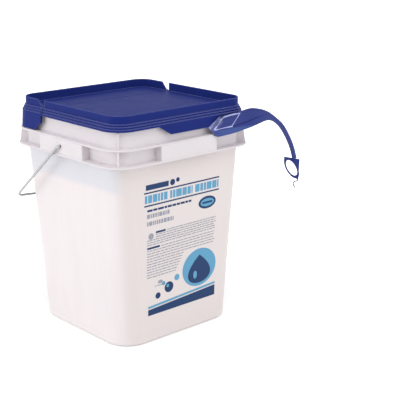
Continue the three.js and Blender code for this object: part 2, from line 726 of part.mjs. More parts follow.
function makeBailGrip() {
  const bore = BAIL_WIRE_RADIUS + GRIP_BORE_CLEARANCE;
  const profile = [new THREE.Vector2(bore, -GRIP_LENGTH / 2)];
  const steps = GRIP_RIDGES * 4;
  for (let step = 0; step <= steps; step++) {
    const wave = (1 - Math.cos(2 * Math.PI * step / 4)) / 2;
    const radius = GRIP_RADIUS - GRIP_WAIST * (1 - wave);
    profile.push(new THREE.Vector2(radius, GRIP_LENGTH * (step / steps - 0.5)));
  }
  profile.push(new THREE.Vector2(bore, GRIP_LENGTH / 2), profile[0]);
  const geometry = new THREE.LatheGeometry(profile, 28).rotateZ(-Math.PI / 2);
  const place = bailPlace(0, GRIP_REACH);
  return solid(geometry.translate(place.x, place.y, place.z));
}

function makePowder() {
  const gap = WALL + SEAT_GAP;
  const surface = inset(wallAt(POWDER_TOP), gap, POWDER_TOP);
  const mound = section(
    surface.half * MOUND_WIDTH_SHARE,
    surface.corner * MOUND_WIDTH_SHARE,
    POWDER_TOP + POWDER_CROWN * MOUND_RISE_SHARE,
  );
  return loft([
    section(0, 0, FLOOR + SEAT_GAP),
    ...quarterRound(inset(wallAt(0), gap), FLOOR_FILLET, FLOOR + SEAT_GAP, true),
    surface,
    mound,
    section(0, 0, POWDER_TOP + POWDER_CROWN),
  ]);
}

const parts = [
  ['pail_body', makePail(), { color: 0xe9e7e6, roughness: 0.5, metalness: 0 }],
  ['lid_flap', makeLidFlap(), { color: 0x10228c, roughness: 0.4, metalness: 0 }],
  ['lid_rear', makeLidRear(), { color: 0x10228c, roughness: 0.4, metalness: 0 }],
  ['tear_strip', makeTearStrip(), { color: 0x10228c, roughness: 0.4, metalness: 0 }],
  ['bail_wire', makeBailWire(), { color: 0x8d8f92, roughness: 0.3, metalness: 1 }],
  ['bail_grip', makeBailGrip(), { color: 0xe9e7e6, roughness: 0.5, metalness: 0 }],
  ['detergent_powder', makePowder(), { color: 0xf0eeea, roughness: 0.95, metalness: 0 }],
];

const detergentPail = new THREE.Group();
for (const [name, shape, finish] of parts) {
  const { vertProperties, triVerts } = shape.getMesh();
  const geometry = new THREE.BufferGeometry();
  geometry.setAttribute('position', new THREE.BufferAttribute(vertProperties, 3));
  geometry.setIndex(new THREE.BufferAttribute(triVerts, 1));
  geometry.computeVertexNormals();
  const mesh = new THREE.Mesh(geometry, new THREE.MeshStandardMaterial(finish));
  mesh.name = name;
  detergentPail.add(mesh);
}

export default detergentPail;
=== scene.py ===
import math

import bmesh
import bpy
import numpy as np
from bpy.props import FloatProperty, FloatVectorProperty, PointerProperty
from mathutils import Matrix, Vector


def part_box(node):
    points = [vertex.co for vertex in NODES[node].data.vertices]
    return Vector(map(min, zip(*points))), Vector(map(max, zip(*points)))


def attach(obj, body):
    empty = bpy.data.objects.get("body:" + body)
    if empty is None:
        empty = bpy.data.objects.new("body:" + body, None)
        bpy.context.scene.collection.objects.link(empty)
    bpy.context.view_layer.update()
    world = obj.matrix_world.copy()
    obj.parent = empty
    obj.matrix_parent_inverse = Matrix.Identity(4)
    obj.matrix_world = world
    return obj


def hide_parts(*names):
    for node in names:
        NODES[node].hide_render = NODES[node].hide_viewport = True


bl_info = {
    "name": "Detergent Pail Dresser",
    "version": (1, 0, 0),
    "blender": (4, 5, 0),
    "location": "View3D > Sidebar > Pail",
    "description": "Dresses a square detergent pail with moulded plastic, print, wire and powder",
    "category": "Object",
}

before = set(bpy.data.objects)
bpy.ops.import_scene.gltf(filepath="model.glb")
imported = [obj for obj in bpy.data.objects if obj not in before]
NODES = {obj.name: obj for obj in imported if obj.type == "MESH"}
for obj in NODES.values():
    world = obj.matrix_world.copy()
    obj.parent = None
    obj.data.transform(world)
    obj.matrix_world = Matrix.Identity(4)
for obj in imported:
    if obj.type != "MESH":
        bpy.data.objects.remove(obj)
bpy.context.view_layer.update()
MM = 0.001

# The pail's shape, in millimetres: half widths and corner radii of the tapered wall at its
# foot and at its neck, the height where the taper ends, and the wall's thickness
BASE_HALF = 103.5
NECK_HALF = 113.0
BASE_CORNER = 36.0
NECK_CORNER = 22.0
RING_HEIGHT = 262.8
WALL = 2.0
# How far the lid's hinge line lies behind the middle, in millimetres
HINGE_LINE = 52.0
# Where the wall ends under the rings, and the first height that is ring alone, in metres
WALL_END = 0.2595
RINGS_START = 0.2635
# Ends of the lift tab's slanted edge and of the strip's torn edge, in millimetres
TAB_EDGE = ((39.0, -119.3, 297.8), (59.6, -119.3, 310.2))
STRIP_END = ((40.6, -122.2, 293.9), (56.2, -126.8, 310.3))
# Slope of the lift tab's slanted edge, in radians
TAB_SLANT = 0.543
# Pale lines of the torn strip, as places across and up in millimetres
TORN_LINE = ((38.5, 297.6), (46.5, 302.6), (53.0, 307.6), (61.0, 310.8), (72.0, 312.2), (89.0, 312.6))
POCKET_LINE = ((58.2, 310.1), (45.0, 294.4), (75.6, 295.7), (89.0, 312.4))
TEAR_START = ((36.0, 293.0), (52.0, 306.0))
# Height of the powder's edge at the wall and the gap between the two, in millimetres
HEAP_EDGE = 226.0
HEAP_GAP = 0.45
# Heights over the powder's foot and how far its side is drawn in there, in millimetres
HEAP_FOOT = ((0.0, 5.5), (2.0, 1.8), (5.5, 0.2))
# Lamps: name, place and size in metres, and power as a multiple of the key light's setting
LAMPS = (
    ("key", (-2.7, 0.9, 0.85), 2.2, 2.1),
    ("fill", (1.4, -2.5, 0.8), 2.4, 1.45),
    ("top", (-0.7, -1.2, 2.3), 1.6, 1.15),
)
LAMP_AIM = (0.0, 0.0, 0.17)
CAMERA_PLACE = (-0.8756, -1.1133, 0.5804)
CAMERA_AIM = (0.0804, -0.0740, 0.1638)
SENSOR_WIDTH = 36.0
# Half width of the floor and how far it lies under the pail, in metres
FLOOR_REACH = 6.0
FLOOR_DROP = 0.0004


# Shader maths


class Socket:
    """A number, vector or colour on a node's output. Arithmetic on it adds Math nodes."""

    def __init__(self, tree, output):
        self.tree = tree
        self.output = output

    def _math(self, operation, *values, clamp=False):
        settings = {"operation": operation, "use_clamp": clamp}
        return self.tree.node("ShaderNodeMath", settings, list(values)).out()

    def __add__(self, other):
        return self._math("ADD", self, other)

    __radd__ = __add__

    def __sub__(self, other):
        return self._math("SUBTRACT", self, other)

    def __rsub__(self, other):
        return self._math("SUBTRACT", other, self)

    def __mul__(self, other):
        return self._math("MULTIPLY", self, other)

    __rmul__ = __mul__

    def __truediv__(self, other):
        return self._math("DIVIDE", self, other)

    def absolute(self):
        """The number without its sign."""
        return self._math("ABSOLUTE", self)

    def root(self):
        """The square root."""
        return self._math("SQRT", self)

    def most(self, other):
        """The larger of two numbers."""
        return self._math("MAXIMUM", self, other)

    def limited(self):
        """The number held between 0 and 1."""
        return self._math("ADD", self, 0.0, clamp=True)

    def step(self, low, high):
        """A smooth rise from 0 at low to 1 at high."""
        limits = {"Value": self, "From Min": low, "From Max": high}
        return self.tree.node("ShaderNodeMapRange", {"interpolation_type": "SMOOTHSTEP"}, limits).out()


class Node:
    """One node of a tree, whose outputs come back as sockets."""

    def __init__(self, tree, node):
        self.tree = tree
        self.node = node

    def out(self, name=0):
        """The output of that name or number."""
        return Socket(self.tree, self.node.outputs[name])


class Tree:
    """The nodes of a material or of the world. node() adds any node to them."""

    def __init__(self, tree):
        self.tree = tree
        self.tree.nodes.clear()

    def node(self, kind, settings, inputs):
        """Adds a node: its settings first, then the values or links of its sockets."""
        node = self.tree.nodes.new(kind)
        for key, value in settings.items():
            setattr(node, key, value)
        pairs = inputs.items() if isinstance(inputs, dict) else enumerate(inputs)
        for key, value in pairs:
            self.feed(node.inputs[key], value)
        return Node(self, node)

    def feed(self, target, value):
        """Links an input to a socket, or sets the input's own value."""
        if isinstance(value, Socket):
            self.tree.links.new(value.output, target)
        else:
            target.default_value = value

    def seen(self):
        """1 for what is seen directly, as a gloss or through glass, and 0 for all other light."""
        rays = self.node("ShaderNodeLightPath", {}, {})
        direct, gloss = rays.out("Is Camera Ray"), rays.out("Is Glossy Ray")
        return (direct + gloss + rays.out("Is Transmission Ray")).limited()


class Shader(Tree):
    """A material with a Principled shader."""

    def __init__(self, name, surface):
        self.material = bpy.data.materials.new(name)
        self.material.use_nodes = True
        super().__init__(self.material.node_tree)
        self.surface = self.node("ShaderNodeBsdfPrincipled", {}, surface)
        self.node("ShaderNodeOutputMaterial", {}, {"Surface": self.surface.out()})

    def set(self, **inputs):
        """Feeds sockets of the Principled shader; an underscore stands for a space."""
        for key, value in inputs.items():
            self.feed(self.surface.node.inputs[key.replace("_", " ")], value)

    def place(self):
        """The point's place on the piece, in metres, as three numbers and one vector."""
        coordinates = self.node("ShaderNodeTexCoord", {}, {}).out("Object")
        parts = self.node("ShaderNodeSeparateXYZ", {}, [coordinates])
        return parts.out("X"), parts.out("Y"), parts.out("Z"), coordinates

    def noise(self, vector, scale, detail=3.0, roughness=0.5):
        """Soft noise between 0 and 1; scale is about the number of its blots to a metre."""
        inputs = {"Vector": vector, "Scale": scale, "Detail": detail, "Roughness": roughness}
        return self.node("ShaderNodeTexNoise", {}, inputs).out()

    def mix(self, factor, first, second):
        """The first colour where the factor is 0 and the second where it is 1."""
        inputs = {0: factor, 6: first, 7: second}
        return self.node("ShaderNodeMix", {"data_type": "RGBA"}, inputs).out(2)

    def bump(self, height, distance, strength=1.0, normal=None):
        """A normal that shows height, as much as distance in metres deep, on another normal."""
        inputs = {"Height": height, "Distance": distance, "Strength": strength}
        if normal is not None:
            inputs["Normal"] = normal
        return self.node("ShaderNodeBump", {}, inputs).out()

    def rounded(self, radius):
        """A normal that rounds sharp moulded edges to the given radius."""
        return self.node("ShaderNodeBevel", {"samples": 6}, {"Radius": radius}).out()

    def edges(self, normal):
        """1 beside a sharp edge and 0 away from it, the mask of the lid's painted edge highlights:
        one minus the dot product of the rounded normal and the face's own."""
        face = self.node("ShaderNodeNewGeometry", {}, {}).out("True Normal")
        alike = self.node("ShaderNodeVectorMath", {"operation": "DOT_PRODUCT"}, [normal, face])
        return (1.0 - alike.out("Value")).step(0.004, 0.10)


def rgba(colour, gain=1.0):
    """The colour times gain, no channel above 1, with an alpha of 1."""
    return (*(min(channel * gain, 1.0) for channel in colour[:3]), 1.0)


# Mesh makers


def grid_faces(rows, columns, round_rows=False, round_columns=False):
    """Quads that join neighbours on a grid of rows x columns, as one array."""
    row = np.arange(rows if round_rows else rows - 1)[:, None]
    column = np.arange(columns if round_columns else columns - 1)[None, :]
    below, right = (row + 1) % rows, (column + 1) % columns
    corners = (
        row * columns + column,
        row * columns + right,
        below * columns + right,
        below * columns + column,
    )
    shape = (row.size, column.size)
    return np.stack([np.broadcast_to(corner, shape) for corner in corners], -1).reshape(-1, 4)


def mesh_piece(name, points, faces, material, body, smooth=True):
    """Puts points (n x 3, millimetres) and faces into a mesh that rides on a body."""
    mesh = bpy.data.meshes.new(name)
    if isinstance(faces, np.ndarray):
        faces = faces.tolist()
    mesh.from_pydata((points * MM).tolist(), [], faces)
    mesh.validate()
    if smooth:
        mesh.shade_smooth()
    else:
        mesh.shade_flat()
    mesh.materials.append(material)
    piece = bpy.data.objects.new(name, mesh)
    bpy.context.scene.collection.objects.link(piece)
    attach(piece, body)
    return piece


def smooth_cad(node, angle=30.0):
    """Softens a CAD node's shading over its curved faces and keeps its edges sharp: its
    loose triangles are welded, then split again where they meet at more than the angle."""
    piece = NODES[node]
    piece.data.shade_smooth()
    weld = piece.modifiers.new("Weld", "WELD")
    weld.merge_threshold = 0.002 * MM
    split = piece.modifiers.new("Edges", "EDGE_SPLIT")
    split.split_angle = math.radians(angle)
    piece.modifiers.new("Normals", "WEIGHTED_NORMAL")
    return piece


def paint(piece, material):
    """Gives a piece one material."""
    piece.data.materials.clear()
    piece.data.materials.append(material)
    return piece


# Settings


class PailColours(bpy.types.PropertyGroup):
    """Colours of the moulded plastic, the wire and the powder."""

    pail: FloatVectorProperty(
        name="Pail", description="Natural white polypropylene", subtype="COLOR",
        default=(0.86, 0.80, 0.81), min=0, max=1,
    )
    empty: FloatVectorProperty(
        name="Empty wall", description="The same wall with no powder behind it", subtype="COLOR",
        default=(0.745, 0.74, 0.79), min=0, max=1,
    )
    # The darker tone of the rings and neck is partly the thicker plastic and partly painted shade for
    # the ring channels and the lid above them
    rings: FloatVectorProperty(
        name="Rings and neck", description="Thicker plastic of the rings and the neck", subtype="COLOR",
        default=(0.765, 0.72, 0.745), min=0, max=1,
    )
    film: FloatVectorProperty(
        name="Label film", description="Warm white film moulded into the front wall", subtype="COLOR",
        default=(0.80, 0.735, 0.725), min=0, max=1,
    )
    lid: FloatVectorProperty(
        name="Lid", description="Deep blue polypropylene", subtype="COLOR",
        default=(0.0100, 0.0210, 0.156), min=0, max=1,
    )
    # Real stress whitening on the strip and web, and also the colour of the painted highlights on the
    # lid's moulded edges
    stress_and_edge_highlight: FloatVectorProperty(
        name="Stressed plastic", description="Blue plastic drawn thin where it tears", subtype="COLOR",
        default=(0.36, 0.38, 0.72), min=0, max=1,
    )
    # A lighter blue on the strip's lower lip
    lip_blue: FloatVectorProperty(
        name="Scuffed plastic", description="Blue plastic of the strip's lower lip", subtype="COLOR",
        default=(0.05, 0.10, 0.34), min=0, max=1,
    )
    wire: FloatVectorProperty(
        name="Wire", description="Dull zinc on drawn steel", subtype="COLOR",
        default=(0.33, 0.33, 0.34), min=0, max=1,
    )
    grip: FloatVectorProperty(
        name="Grip", description="White polyethylene", subtype="COLOR",
        default=(0.78, 0.77, 0.76), min=0, max=1,
    )
    powder: FloatVectorProperty(
        name="Powder", description="White granules", subtype="COLOR",
        default=(0.84, 0.83, 0.81), min=0, max=1,
    )
    speck: FloatVectorProperty(
        name="Speck", description="Blue granules among the white", subtype="COLOR",
        default=(0.10, 0.28, 0.62), min=0, max=1,
    )


class PailSizes(bpy.types.PropertyGroup):
    """Sizes of the fine shapes."""

    fill_height: FloatProperty(
        name="Fill height", description="Height of the powder behind the wall",
        default=0.2265, min=0.05, max=0.26, unit="LENGTH",
    )
    edge_radius: FloatProperty(
        name="Edge radius", description="Rounding of the moulded edges",
        default=0.0005, min=0, max=0.002, unit="LENGTH",
    )
    granule: FloatProperty(
        name="Granule", description="Size of one powder granule",
        default=0.0022, min=0.0005, max=0.01, unit="LENGTH",
    )


class PrintSettings(bpy.types.PropertyGroup):
    """Inks of the printed label."""

    navy: FloatVectorProperty(
        name="Navy", description="Dark ink", subtype="COLOR",
        default=(0.014, 0.044, 0.135), min=0, max=1,
    )
    sky: FloatVectorProperty(
        name="Sky", description="Light blue ink", subtype="COLOR",
        default=(0.125, 0.36, 0.56), min=0, max=1,
    )
    grey: FloatVectorProperty(
        name="Grey", description="Ink of the small lines", subtype="COLOR",
        default=(0.33, 0.34, 0.41), min=0, max=1,
    )
    film: FloatProperty(
        name="Ink height", description="How far the ink stands off the wall",
        default=0.00012, min=0.00002, max=0.001, unit="LENGTH",
    )


class StageSettings(bpy.types.PropertyGroup):
    """Floor, light and camera."""

    key: FloatProperty(
        name="Key light", description="Power of the large lamp at the front left",
        default=16.0, min=0, subtype="POWER",
    )
    world: FloatProperty(
        name="Room light", description="Strength of the even light around the object",
        default=0.64, min=0,
    )
    lens: FloatProperty(
        name="Lens", description="Focal length on a 36 mm sensor",
        default=86.36, min=10, unit="CAMERA",
    )


def settings():
    """The four groups of settings on the scene."""
    scene = bpy.context.scene
    return scene.pail_colours, scene.pail_sizes, scene.pail_print, scene.pail_stage


# Finishes


def pail_plastic():
    """Natural polypropylene. The powder warms the wall up to a slightly uneven fill line,
    and the empty wall above it is cooler. The label film covers the front: the distance of
    a point behind the tapered front wall fades it out round the corners. A faint flow
    mottle and a fine skin lie over all of it."""
    colours, sizes, _, _ = settings()
    shader = Shader("pail_plastic", {"IOR": 1.49, "Specular IOR Level": 0.3})
    _, y, z, place = shader.place()
    uneven = z - (shader.noise(place, 11.0, 4.0) - 0.5) * 0.016
    empty = uneven.step(sizes.fill_height - 0.005, sizes.fill_height + 0.006)
    widening = (NECK_HALF - BASE_HALF) / RING_HEIGHT
    behind = y + z * widening + BASE_HALF * MM
    film = (1.0 - behind.step(0.001, 0.016)) * (1.0 - z.step(WALL_END, WALL_END + 0.002))
    flow = shader.node("ShaderNodeMapping", {}, {"Vector": place, "Scale": (1, 1, 0.25)}).out()
    mottle = shader.noise(flow, 26.0, 5.0, 0.6)
    skin = shader.noise(place, 1400.0, 2.0)
    base = shader.mix(empty, rgba(colours.pail), rgba(colours.empty))
    # The rings and neck take a darker tone, partly painted shade from the ring channels and the lid
    # above them
    base = shader.mix(z.step(WALL_END, RINGS_START), base, rgba(colours.rings))
    blots = ((mottle - 0.5).absolute() * 0.5).limited()
    base = shader.mix(blots, base, rgba(colours.empty, 0.86))
    base = shader.mix(film, base, rgba(colours.film))
    normal = shader.rounded(sizes.edge_radius)
    shader.set(
        Base_Color=base,
        Roughness=0.36 + mottle * 0.14,
        Normal=shader.bump(skin, 0.00004, 0.5, shader.bump(mottle, 0.0004, 0.35, normal)),
    )
    return shader.material


def lid_plastic():
    """Deep blue polypropylene with a fine leather-like skin, the pale haze of handling and
    painted highlights along the moulded edges, except within 2 mm of the thin hinge line."""
    colours, sizes, _, _ = settings()
    shader = Shader("lid_plastic", {"IOR": 1.49, "Specular IOR Level": 0.08})
    _, y, _, place = shader.place()
    skin = shader.noise(place, 1800.0, 2.0)
    haze = shader.noise(place, 30.0, 6.0, 0.65)
    base = shader.mix((haze * 0.35).limited(), rgba(colours.lid), rgba(colours.lid, 1.7))
    normal = shader.rounded(sizes.edge_radius * 3.0)
    off_hinge = (y / MM - HINGE_LINE).absolute().step(0.8, 2.2)
    # Painted highlight: beside the moulded edges the blue is mixed toward the pale stressed-plastic
    # colour, as if the edges caught the light
    base = shader.mix(shader.edges(normal) * off_hinge * 0.34, base, rgba(colours.stress_and_edge_highlight))
    shader.set(
        Base_Color=base,
        Roughness=0.44 + haze * 0.2,
        Normal=shader.bump(skin, 0.00006, 0.5, normal),
    )
    return shader.material


def strip_plastic():
    """The lid's plastic, drawn pale and thin beside the edge that it was torn from. Pale
    ridges run down the torn side and round the slanted pocket: the distance to each line,
    read across (x) and up (z), fades the pale colour away from it."""
    colours, sizes, _, _ = settings()
    shader = Shader("strip_plastic", {"IOR": 1.49, "Specular IOR Level": 0.25})
    x, _, z, place = shader.place()
    waver = (shader.noise(place, 70.0, 3.0) - 0.5) * 0.0016

    def near(first, second, width):
        """1 on the line between two (across, up) places in millimetres, 0 beyond width:
        the distance is taken from the point's foot on the line, which is held between
        the two ends."""
        run, rise = second[0] - first[0], second[1] - first[1]
        across, up = x / MM - first[0], z / MM - first[1]
        share = ((across * run + up * rise) / (run * run + rise * rise)).limited()
        aside, above = across - share * run, up - share * rise
        far = (aside * aside + above * above).root()
        return 1.0 - (far * MM + waver).step(width * 0.3 * MM, width * MM)

    def near_path(path, widths):
        """The most of near() over the stretches of a path, each with its own width."""
        stretches = [near(*ends) for ends in zip(path, path[1:], widths)]
        shown = stretches[0]
        for stretch in stretches[1:]:
            shown = shown.most(stretch)
        return shown

    ridge = near_path(TORN_LINE, (1.7, 1.35, 1.35, 1.35, 1.35))
    pocket = near_path(POCKET_LINE, (0.85, 0.85, 0.85))
    torn = (near(*TEAR_START, 9.0) * 0.6).limited()
    skin = shader.noise(place, 1800.0, 2.0)
    base = shader.mix(torn, rgba(colours.lid, 1.25), rgba(colours.stress_and_edge_highlight, 0.6))
    # The strip's lower lip, up to about 0.11 m across, is mixed toward a lighter blue
    lip = (1.0 - z.step(0.2925, 0.2945)) * (1.0 - x.step(0.11, 0.15))
    base = shader.mix(lip * 0.6, base, rgba(colours.lip_blue))
    base = shader.mix((ridge * 0.75).most(pocket * 0.85), base, rgba(colours.stress_and_edge_highlight, 1.6))
    shader.set(
        Base_Color=base,
        Roughness=0.30 + torn * 0.2,
        Normal=shader.bump(skin, 0.00006, 0.5, shader.rounded(sizes.edge_radius)),
    )
    return shader.material


def torn_web():
    """Plastic drawn out into a thin pale web: streaks nine times as long as wide run
    along the lift tab's slanted edge, from blue to the white of stressed plastic."""
    colours, _, _, _ = settings()
    shader = Shader("torn_web", {"IOR": 1.49, "Specular IOR Level": 0.3, "Roughness": 0.35})
    _, _, _, place = shader.place()
    along = {"Vector": place, "Rotation": (0, -TAB_SLANT, 0), "Scale": (9, 1, 1)}
    drawn = shader.node("ShaderNodeMapping", {"vector_type": "TEXTURE"}, along).out()
    streak = shader.noise(drawn, 900.0, 2.0).step(0.42, 0.66)
    shader.set(Base_Color=shader.mix(streak, rgba(colours.stress_and_edge_highlight, 0.42), rgba(colours.stress_and_edge_highlight, 1.25)))
    return shader.material


def zinc_wire():
    """Drawn steel wire with a dull zinc coat: long fine die lines and grey blooms."""
    colours, _, _, _ = settings()
    shader = Shader("zinc_wire", {"Metallic": 1.0})
    _, _, _, place = shader.place()
    bloom = shader.noise(place, 160.0, 4.0)
    fine = shader.noise(place, 2400.0, 2.0)
    shader.set(
        Base_Color=shader.mix(bloom, rgba(colours.wire), rgba(colours.wire, 1.45)),
        Roughness=0.26 + bloom * 0.22,
        Normal=shader.bump(fine, 0.00005, 0.4),
    )
    return shader.material


def grip_plastic():
    """White moulded polyethylene with a soft skin and a faint mottle."""
    colours, _, _, _ = settings()
    shader = Shader("grip_plastic", {"IOR": 1.5})
    _, _, _, place = shader.place()
    mottle = shader.noise(place, 60.0, 4.0)
    skin = shader.noise(place, 1500.0, 2.0)
    shader.set(
        Base_Color=shader.mix((mottle * 0.4).limited(), rgba(colours.grip), rgba(colours.grip, 0.85)),
        Roughness=0.4 + mottle * 0.15,
        Normal=shader.bump(skin, 0.00005, 0.5),
    )
    return shader.material


def powder_grains():
    """Loose granules: rough white cells of uneven shade, a few of them blue."""
    colours, sizes, _, _ = settings()
    shader = Shader("powder_grains", {"Roughness": 0.9})
    _, _, _, place = shader.place()
    scale = 1.0 / sizes.granule
    cells = shader.node("ShaderNodeTexVoronoi", {}, {"Vector": place, "Scale": scale})
    tone = shader.node("ShaderNodeSeparateColor", {}, [cells.out("Color")])
    blue = tone.out(0).step(0.955, 0.965)
    base = shader.mix(tone.out(1) * 0.6, rgba(colours.powder), rgba(colours.powder, 0.8))
    shader.set(
        Base_Color=shader.mix(blue, base, rgba(colours.speck)),
        Normal=shader.bump(1.0 - cells.out("Distance"), sizes.granule * 0.6, 0.8),
    )
    return shader.material


def ink(name, colour):
    """Printing ink on plastic: even, a little uneven in gloss where it was laid thin."""
    shader = Shader(name, {"IOR": 1.48, "Specular IOR Level": 0.2})
    _, _, _, place = shader.place()
    lay = shader.noise(place, 220.0, 3.0)
    shader.set(
        Base_Color=shader.mix((lay * 0.3).limited(), rgba(colour), rgba(colour, 1.25)),
        Roughness=0.38 + lay * 0.14,
    )
    return shader.material


# Label print


def on_front(outline, lift):
    """Places on the front wall for an outline of (across, up) pairs: the wall's half width
    grows evenly from the foot to the ring, and lift is added to it."""
    across, up = outline.T
    half = BASE_HALF + (NECK_HALF - BASE_HALF) * up / RING_HEIGHT
    return np.stack([across, -(half + lift), up], -1)


def bar(left, right, low, high):
    """The four corners of an upright rectangle."""
    return np.array([(left, low), (right, low), (right, high), (left, high)])


def band(left, right, low, high, climb):
    """A rectangle whose right side stands higher by climb."""
    return np.array([(left, low), (right, low + climb), (right, high + climb), (left, high)])


def oval(across, up, wide, tall, count=48):
    """An ellipse: wide * cos a across and tall * sin a up, round its middle."""
    angle = np.linspace(0, 2 * np.pi, count, endpoint=False)
    return np.stack([across + wide * np.cos(angle), up + tall * np.sin(angle)], -1)


def drop(across, up, wide, tall, count=72):
    """A drop with its tip up: half width wide * sin a * sin(a / 2) at height tall * cos a."""
    angle = np.linspace(0, 2 * np.pi, count, endpoint=False)
    half = wide * np.sin(angle) * np.abs(np.sin(angle / 2))
    return np.stack([across - half, up + tall * np.cos(angle)], -1)


def words(rng, left, right, low, high, mean=6.0, gap=1.2):
    """A row of bars like a line of type seen from afar: each is mean long times a random
    number from 0.45 to 1.5, with the gap after it, until the row is full."""
    row, edge = [], left
    while edge < right - 1:
        end = min(edge + mean * rng.uniform(0.45, 1.5), right)
        row.append(bar(edge, end, low, high))
        edge = end + gap
    return row


def print_piece(name, outlines, material, lift):
    """Each outline becomes a flat prism of ink, from 0.3 of lift off the wall to lift: a
    front, a back turned round, and quads round the edge."""
    points, faces, start = [], [], 0
    for outline in outlines:
        count = len(outline)
        points += [on_front(outline, lift), on_front(outline, lift * 0.3)]
        front = start + np.arange(count)
        back = front + count
        sides = [front, back, np.roll(back, -1), np.roll(front, -1)]
        faces += [front.tolist(), back[::-1].tolist(), *np.stack(sides, -1).tolist()]
        start += 2 * count
    return mesh_piece(name, np.concatenate(points), faces, material, "pail", smooth=False)


class PAIL_OT_print(bpy.types.Operator):
    """Prints the label on the front wall: two rules round a title band, rows of small
    type shown as bars, an oval badge, and a drop with bubbles over a ground band.
    Places are millimetres across from the middle and up from the foot"""

    bl_idname = "pail.label_print"
    bl_label = "Label print"

    def execute(self, context):
        inks = context.scene.pail_print
        lift = inks.film / MM
        rng = np.random.default_rng(11)
        navy = ink("ink_navy", inks.navy)
        sky = ink("ink_sky", inks.sky)
        print_piece("print_navy", self.dark_shapes(), navy, lift)
        print_piece("print_core", [drop(33, 89.5, 28, 21.5)], navy, lift * 1.8)
        print_piece("print_sky", self.title(rng) + self.light_shapes(), sky, lift)
        print_piece("print_trim", self.highlights(), sky, lift * 2.6)
        print_piece("print_badge", [bar(36, 55, 186.2, 189.0)], navy, lift * 3.4)
        print_piece("print_bold", self.headings(rng), ink("ink_slate", inks.navy), lift)
        print_piece("print_small", self.small_type(rng), ink("ink_grey", inks.grey), lift)
        return {"FINISHED"}

    def dark_shapes(self):
        """Rules, mark, ground band, dark bubbles and badge."""
        rules = [bar(-70, 67.5, 220.2, 222.2), bar(-69.6, 67.7, 202.0, 204.0)]
        mark = [bar(-67, -27, 225.0, 232.5), oval(-20, 229, 4.4, 4.4), oval(-10.5, 231, 3.2, 3.2)]
        ground = [np.array([(-61.5, 41.2), (64.2, 41.2), (64.2, 57.0), (-61.5, 50.0)])]
        bubbles = [oval(-24, 76, 8, 8), oval(-44, 68, 4.6, 4.6)]
        return rules + mark + ground + bubbles + [oval(45.4, 187.6, 16.4, 9.2)]

    def light_shapes(self):
        """The stripe over the ground band, the disc behind the drop and light bubbles."""
        stripe = [band(-61.5, 64.2, 51.8, 55.0, 7.0)]
        return stripe + [oval(33, 92, 32, 28.5, 96), oval(-9.5, 87, 4.6, 4.6), oval(-34, 84, 3.0, 3.0)]

    def highlights(self):
        """The badge's inner oval and the glints of a bubble and the drop."""
        return [oval(45.4, 187.6, 12.8, 5.8), oval(-26.5, 78.5, 2.4, 2.4), oval(25, 82, 3.4, 6.0)]

    def title(self, rng):
        """Three words of wide bars between the rules."""
        bars = []
        for left, right in ((-68.5, -29), (-24, 17), (22, 66.5)):
            bars += words(rng, left, right, 206.6, 217.6, 7.0, 1.5)
        return bars

    def headings(self, rng):
        """The bold line under the title and the first words of two paragraphs."""
        line = words(rng, -64.2, 15, 194.2, 197.2, 7.0)
        return line + [bar(-48.9, -31.5, 161.2, 164.0), bar(-64.1, -41.5, 140.0, 142.8)]

    def small_type(self, rng):
        """A dot, two lines of larger type, two paragraphs and a line by the picture."""
        rows = [oval(-57.4, 158.4, 4.6, 4.6)]
        rows += words(rng, -64.6, -25, 184.8, 190.6, 3.6, 1.3)
        rows += words(rng, -64.4, -17, 174.2, 180.0, 3.6, 1.3)
        x_height = 1.3
        upper_lefts = (-28.5, -48.9, -48.9, -64.2, -64.2, -64.2)
        for row, left in enumerate(upper_lefts):
            up = 162.0 - row * 3.3
            rows += words(rng, left, 63 - 2.0 * (row % 2), up, up + x_height)
        picture_top = 124
        for row in range(12):
            up = 140.6 - row * 3.9
            left = -38.5 if row == 0 else -64.2
            right = 61 - 1.5 * (row % 3) if up > picture_top else 4 - (picture_top - up) * 0.6
            rows += words(rng, left, right, up, up + x_height)
        return rows + words(rng, -50, -31, 82.5, 84.0, 3.0) + [oval(-40, 88, 4.4, 2.6)]


# Pieces


class PAIL_OT_shell(bpy.types.Operator):
    """Finishes the pail's moulded shell in natural white plastic"""

    bl_idname = "pail.shell"
    bl_label = "Pail shell"

    def execute(self, context):
        paint(smooth_cad("pail_body"), pail_plastic())
        return {"FINISHED"}


class PAIL_OT_lid(bpy.types.Operator):
    """Finishes both halves of the lid and the tear strip in deep blue plastic"""

    bl_idname = "pail.lid"
    bl_label = "Lid and tear strip"

    def execute(self, context):
        blue = lid_plastic()
        paint(smooth_cad("lid_flap"), blue)
        paint(smooth_cad("lid_rear"), blue)
        paint(smooth_cad("tear_strip", 40.0), strip_plastic())
        return {"FINISHED"}


class PAIL_OT_web(bpy.types.Operator):
    """Draws the torn web between the lift tab's slanted edge and the strip's end: a
    surface ruled from one edge to the other, which sags by the product of two half
    waves, along and across, with a ripple in it, and is thickest in its middle"""

    bl_idname = "pail.web"
    bl_label = "Torn web"

    def execute(self, context):
        rows, columns = 9, 25
        along = np.linspace(0, 1, columns)[None, :, None]
        across = np.linspace(0, 1, rows)[:, None, None]
        sag, thickness = np.array([0, 0.8, -0.5]), np.array([0, 0.35, 0])
        tab_foot, tab_head = np.array(TAB_EDGE)
        end_foot, end_head = np.array(STRIP_END)
        tab = tab_foot + (tab_head - tab_foot) * along
        end = end_foot + (end_head - end_foot) * along
        slack = np.sin(np.pi * across) * np.sin(np.pi * along)
        wrinkle = 0.9 + 0.3 * np.sin(6 * np.pi * across + 4 * along)
        front = tab + (end - tab) * across + slack * wrinkle * sag
        back = front + np.sqrt(slack.clip(0)) * thickness
        points = np.concatenate([front, back[-2:0:-1]]).reshape(-1, 3)
        faces = grid_faces(2 * rows - 2, columns, round_rows=True)
        web = mesh_piece("torn_web", points, faces, torn_web(), "lid")
        close_poles(web)
        return {"FINISHED"}


